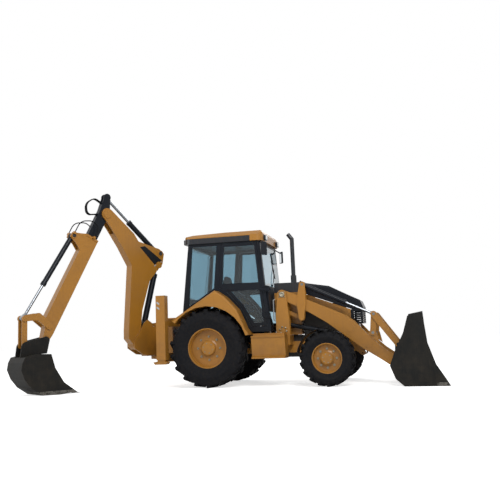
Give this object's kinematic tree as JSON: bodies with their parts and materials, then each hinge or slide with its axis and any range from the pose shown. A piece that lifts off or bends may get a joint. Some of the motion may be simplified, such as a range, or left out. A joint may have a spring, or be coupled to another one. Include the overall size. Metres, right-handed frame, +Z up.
{
  "type": "backhoe loader",
  "caption": "Backhoe loader with a cab, a front bucket on parallel-lift arms and a rear digging arm on a side-shift frame.",
  "frame": {"origin": "on the ground under the middle of the machine's box as it stands", "axes": "+X forward to the loader bucket, +Y to the left, +Z up"},
  "size_m": [7.292, 3.7548, 3.662],
  "materials": {
    "yellow": "semi-gloss machine paint",
    "black": "satin black paint",
    "tyre": "worn rubber",
    "chrome": "ground and plated",
    "steel": "bare steel pins",
    "glass": "tinted safety glass",
    "fabric": "woven seat cover",
    "plastic": "moulded plastic",
    "dark_steel": "painted castings",
    "tan": "moulded roof skin"
  },
  "bodies": {
    "machine": {"chassis_frame": "dark_steel", "power_train": "dark_steel", "rear_axle": "dark_steel", "front_axle": "dark_steel", "rear_fenders": "yellow", "side_boxes": "yellow", "cab_frame": "black", "cab_roof": "tan", "cab_glass": "glass", "seat": "fabric", "controls": "plastic", "body_panels": "black", "grille": "black"},
    "wheel_rear_right": {"tyre_rear_right": "tyre", "rim_rear_right": "yellow"},
    "wheel_rear_left": {"tyre_rear_left": "tyre", "rim_rear_left": "yellow"},
    "wheel_front_right": {"tyre_front_right": "tyre", "rim_front_right": "yellow"},
    "wheel_front_left": {"tyre_front_left": "tyre", "rim_front_left": "yellow"},
    "door_left": {"door_left": "black", "door_glass_left": "glass"},
    "door_right": {"door_right": "black", "door_glass_right": "glass"},
    "boom": {"boom": "yellow"},
    "boom_barrel": {"boom_barrel": "black"},
    "boom_rod": {"boom_rod": "chrome"},
    "bucket_links": {"bucket_links": "yellow"},
    "bucket_pins": {"bucket_pins": "steel"},
    "carriage": {"carriage": "yellow"},
    "guide_links": {"guide_links": "yellow"},
    "hoe_barrel": {"hoe_barrel": "black"},
    "hoe_bucket": {"hoe_bucket": "black"},
    "hoe_link": {"hoe_link": "yellow"},
    "hoe_rod": {"hoe_rod": "chrome"},
    "hood": {"hood": "black"},
    "knuckle_left": {"knuckle_left": "black"},
    "knuckle_right": {"knuckle_right": "black"},
    "lever_pins": {"lever_pins": "steel"},
    "lift_barrels": {"lift_barrels": "black"},
    "lift_rods": {"lift_rods": "chrome"},
    "link_pins": {"link_pins": "steel"},
    "loader_arms": {"loader_arms": "yellow"},
    "loader_bucket": {"loader_bucket": "black"},
    "rocker": {"rocker": "yellow"},
    "stabiliser_left": {"stabiliser_left": "yellow"},
    "stabiliser_right": {"stabiliser_right": "yellow"},
    "stick_barrel": {"stick_barrel": "black"},
    "stick_inner": {"stick_inner": "black", "stick_head_hoses": "plastic"},
    "stick_outer": {"stick_outer": "yellow", "stick_side_hoses": "plastic"},
    "stick_rod": {"stick_rod": "chrome"},
    "swing_post": {"swing_post": "yellow"},
    "tilt_barrels": {"tilt_barrels": "black"},
    "tilt_cranks": {"tilt_cranks": "yellow"},
    "tilt_levers": {"tilt_levers": "yellow"},
    "tilt_pins": {"tilt_pins": "steel"},
    "tilt_rods": {"tilt_rods": "chrome"}
  },
  "joints": [
    {"name": "roll_rear_right", "type": "hinge", "parent": "machine", "child": "wheel_rear_right", "pos_m": [-0.39401, -0.18265, 0.69], "axis": [0, 1, 0], "continuous": true},
    {"name": "roll_rear_left", "type": "hinge", "parent": "machine", "child": "wheel_rear_left", "pos_m": [-0.39401, 1.53136, 0.69], "axis": [0, 1, 0], "continuous": true},
    {"name": "roll_front_right", "type": "hinge", "parent": "knuckle_right", "child": "wheel_front_right", "pos_m": [1.70599, -0.30264, 0.47], "axis": [0, 1, 0], "continuous": true},
    {"name": "roll_front_left", "type": "hinge", "parent": "knuckle_left", "child": "wheel_front_left", "pos_m": [1.70599, 1.65135, 0.47], "axis": [0, 1, 0], "continuous": true},
    {"name": "steer_left", "type": "hinge", "parent": "machine", "child": "knuckle_left", "pos_m": [1.70599, 1.48436, 0.47], "axis": [0, 0, 1], "range_deg": [-35, 35]},
    {"name": "steer_right", "type": "hinge", "parent": "machine", "child": "knuckle_right", "pos_m": [1.70599, -0.13564, 0.47], "axis": [0, 0, 1], "range_deg": [-35, 35]},
    {"name": "door_left", "type": "hinge", "parent": "machine", "child": "door_left", "pos_m": [0.70099, 1.44236, 1.5], "axis": [0, 0, -1], "range_deg": [0, 75]},
    {"name": "door_right", "type": "hinge", "parent": "machine", "child": "door_right", "pos_m": [0.70099, -0.09365, 1.5], "axis": [0, 0, 1], "range_deg": [0, 75]},
    {"name": "hood_open", "type": "hinge", "parent": "machine", "child": "hood", "pos_m": [1.20399, 0.67436, 1.836], "axis": [0, -1, 0], "range_deg": [0, 55]},
    {"name": "arm_lift", "type": "hinge", "parent": "machine", "child": "loader_arms", "pos_m": [0.90899, 0.67436, 1.594], "axis": [0, -1, 0], "range_deg": [0, 82]},
    {"name": "crank_level", "type": "hinge", "parent": "loader_arms", "child": "tilt_cranks", "pos_m": [1.25099, 0.67436, 1.44], "axis": [0, -1, 0], "range_deg": [-82, 0]},
    {"name": "guide_turn", "type": "hinge", "parent": "machine", "child": "guide_links", "pos_m": [0.90399, 0.67436, 1.319], "axis": [0, -1, 0], "range_deg": [0, 82]},
    {"name": "tilt_pin_turn", "type": "hinge", "parent": "tilt_cranks", "child": "tilt_pins", "pos_m": [1.28099, 0.67436, 1.758], "axis": [0, -1, 0], "range_deg": [0, 82]},
    {"name": "lever_pin_level", "type": "hinge", "parent": "loader_arms", "child": "lever_pins", "pos_m": [2.46099, 0.67436, 0.869], "axis": [0, -1, 0], "range_deg": [-82, 0]},
    {"name": "bucket_pin_level", "type": "hinge", "parent": "loader_arms", "child": "bucket_pins", "pos_m": [2.83599, 0.67436, 0.345], "axis": [0, -1, 0], "range_deg": [-82, 0]},
    {"name": "lift_barrel_turn", "type": "hinge", "parent": "machine", "child": "lift_barrels", "pos_m": [0.84599, 0.67436, 1.085], "axis": [0, -1, 0], "range_deg": [0, 68.88]},
    {"name": "lift_rod_slide", "type": "slide", "parent": "lift_barrels", "child": "lift_rods", "axis": [0.9801, 0, -0.1986], "range_m": [0, 0.586]},
    {"name": "bucket_tilt", "type": "hinge", "parent": "bucket_pins", "child": "loader_bucket", "pos_m": [2.83599, 0.67436, 0.345], "axis": [0, 1, 0], "range_deg": [-35, 45]},
    {"name": "lever_turn", "type": "hinge", "parent": "lever_pins", "child": "tilt_levers", "pos_m": [2.46099, 0.67436, 0.869], "axis": [0, 1, 0], "range_deg": [-35, 45]},
    {"name": "link_pin_level", "type": "hinge", "parent": "tilt_levers", "child": "link_pins", "pos_m": [2.49099, 0.67436, 1.187], "axis": [0, -1, 0], "range_deg": [-35, 45]},
    {"name": "bucket_link_turn", "type": "hinge", "parent": "link_pins", "child": "bucket_links", "pos_m": [2.49099, 0.67436, 1.187], "axis": [0, -1, 0], "range_deg": [0, 82]},
    {"name": "tilt_barrel_turn", "type": "hinge", "parent": "tilt_pins", "child": "tilt_barrels", "pos_m": [1.28099, 0.67436, 1.758], "axis": [0, -1, 0], "range_deg": [-2.1, 2.7]},
    {"name": "tilt_rod_slide", "type": "slide", "parent": "tilt_barrels", "child": "tilt_rods", "axis": [0.9044, 0, -0.4268], "range_m": [-0.1715, 0.2205]},
    {"name": "side_shift", "type": "slide", "parent": "machine", "child": "carriage", "axis": [0, 1, 0], "range_m": [-0.55, 0.55]},
    {"name": "swing", "type": "hinge", "parent": "carriage", "child": "swing_post", "pos_m": [-1.73401, 0.67436, 0.8], "axis": [0, 0, 1], "range_deg": [-145, 35]},
    {"name": "boom_lower", "type": "hinge", "parent": "swing_post", "child": "boom", "pos_m": [-2.0208, 0.26478, 0.79], "axis": [0.8192, -0.5736, 0], "range_deg": [-8, 125]},
    {"name": "boom_barrel_turn", "type": "hinge", "parent": "swing_post", "child": "boom_barrel", "pos_m": [-1.89748, 0.4409, 1.185], "axis": [0.8192, -0.5736, 0], "range_deg": [-8.36, 130.62]},
    {"name": "boom_rod_slide", "type": "slide", "parent": "boom_barrel", "child": "boom_rod", "axis": [0.1476, 0.2108, 0.9663], "range_m": [-0.05018, 0.784]},
    {"name": "stick_out", "type": "hinge", "parent": "boom", "child": "stick_inner", "pos_m": [-2.38215, -0.25129, 3.26], "axis": [-0.8192, 0.5736, 0], "range_deg": [-35, 88]},
    {"name": "stick_barrel_turn", "type": "hinge", "parent": "boom", "child": "stick_barrel", "pos_m": [-1.69959, 0.7235, 2.56], "axis": [-0.8192, 0.5736, 0], "range_deg": [-1.4, 3.52]},
    {"name": "stick_rod_slide", "type": "slide", "parent": "stick_barrel", "child": "stick_rod", "axis": [-0.4305, -0.6148, 0.6608], "range_m": [-0.4312, 0.1715]},
    {"name": "stick_retract", "type": "slide", "parent": "stick_inner", "child": "stick_outer", "axis": [0.2694, 0.3847, 0.8829], "range_m": [-0.64, 0.4]},
    {"name": "hoe_curl", "type": "hinge", "parent": "stick_outer", "child": "hoe_bucket", "pos_m": [-3.09453, -1.26867, 0.925], "axis": [0.8192, -0.5736, 0], "range_deg": [-50, 115]},
    {"name": "rocker_turn", "type": "hinge", "parent": "stick_outer", "child": "rocker", "pos_m": [-3.05898, -1.21791, 1.16928], "axis": [0.8192, -0.5736, 0], "range_deg": [-35, 80.5]},
    {"name": "hoe_link_turn", "type": "hinge", "parent": "rocker", "child": "hoe_link", "pos_m": [-3.31617, -1.58521, 1.30584], "axis": [0.8192, -0.5736, 0], "range_deg": [-25.3, 11]},
    {"name": "hoe_barrel_turn", "type": "hinge", "parent": "stick_outer", "child": "hoe_barrel", "pos_m": [-2.78134, -0.82139, 2.80334], "axis": [0.8192, -0.5736, 0], "range_deg": [-4, 9.2]},
    {"name": "hoe_rod_slide", "type": "slide", "parent": "hoe_barrel", "child": "hoe_rod", "axis": [-0.3032, -0.433, -0.8489], "range_m": [-0.2075, 0.47725]},
    {"name": "stabiliser_left_down", "type": "slide", "parent": "machine", "child": "stabiliser_left", "axis": [0, 0, -1], "range_m": [-0.015, 0.56]},
    {"name": "stabiliser_right_down", "type": "slide", "parent": "machine", "child": "stabiliser_right", "axis": [0, 0, -1], "range_m": [-0.015, 0.56]}
  ],
  "couplings": [
    {"joint": "steer_right", "follows": "steer_left", "ratio": 1},
    {"joint": "crank_level", "follows": "arm_lift", "ratio": -1},
    {"joint": "guide_turn", "follows": "arm_lift", "ratio": 1},
    {"joint": "tilt_pin_turn", "follows": "arm_lift", "ratio": 1},
    {"joint": "lever_pin_level", "follows": "arm_lift", "ratio": -1},
    {"joint": "bucket_pin_level", "follows": "arm_lift", "ratio": -1},
    {"joint": "lift_barrel_turn", "follows": "arm_lift", "ratio": 0.84},
    {"joint": "lift_rod_slide", "follows": "arm_lift", "m_per_rad": 0.40946},
    {"joint": "lever_turn", "follows": "bucket_tilt", "ratio": 1},
    {"joint": "link_pin_level", "follows": "bucket_tilt", "ratio": 1},
    {"joint": "bucket_link_turn", "follows": "arm_lift", "ratio": 1},
    {"joint": "tilt_barrel_turn", "follows": "bucket_tilt", "ratio": 0.06},
    {"joint": "tilt_rod_slide", "follows": "bucket_tilt", "m_per_rad": 0.28075},
    {"joint": "boom_barrel_turn", "follows": "boom_lower", "ratio": 1.045},
    {"joint": "boom_rod_slide", "follows": "boom_lower", "m_per_rad": 0.35936},
    {"joint": "stick_barrel_turn", "follows": "stick_out", "ratio": 0.04},
    {"joint": "stick_rod_slide", "follows": "stick_out", "m_per_rad": -0.28075},
    {"joint": "rocker_turn", "follows": "hoe_curl", "ratio": 0.7},
    {"joint": "hoe_link_turn", "follows": "hoe_curl", "ratio": -0.22},
    {"joint": "hoe_barrel_turn", "follows": "hoe_curl", "ratio": 0.08},
    {"joint": "hoe_rod_slide", "follows": "hoe_curl", "m_per_rad": 0.23778}
  ]
}
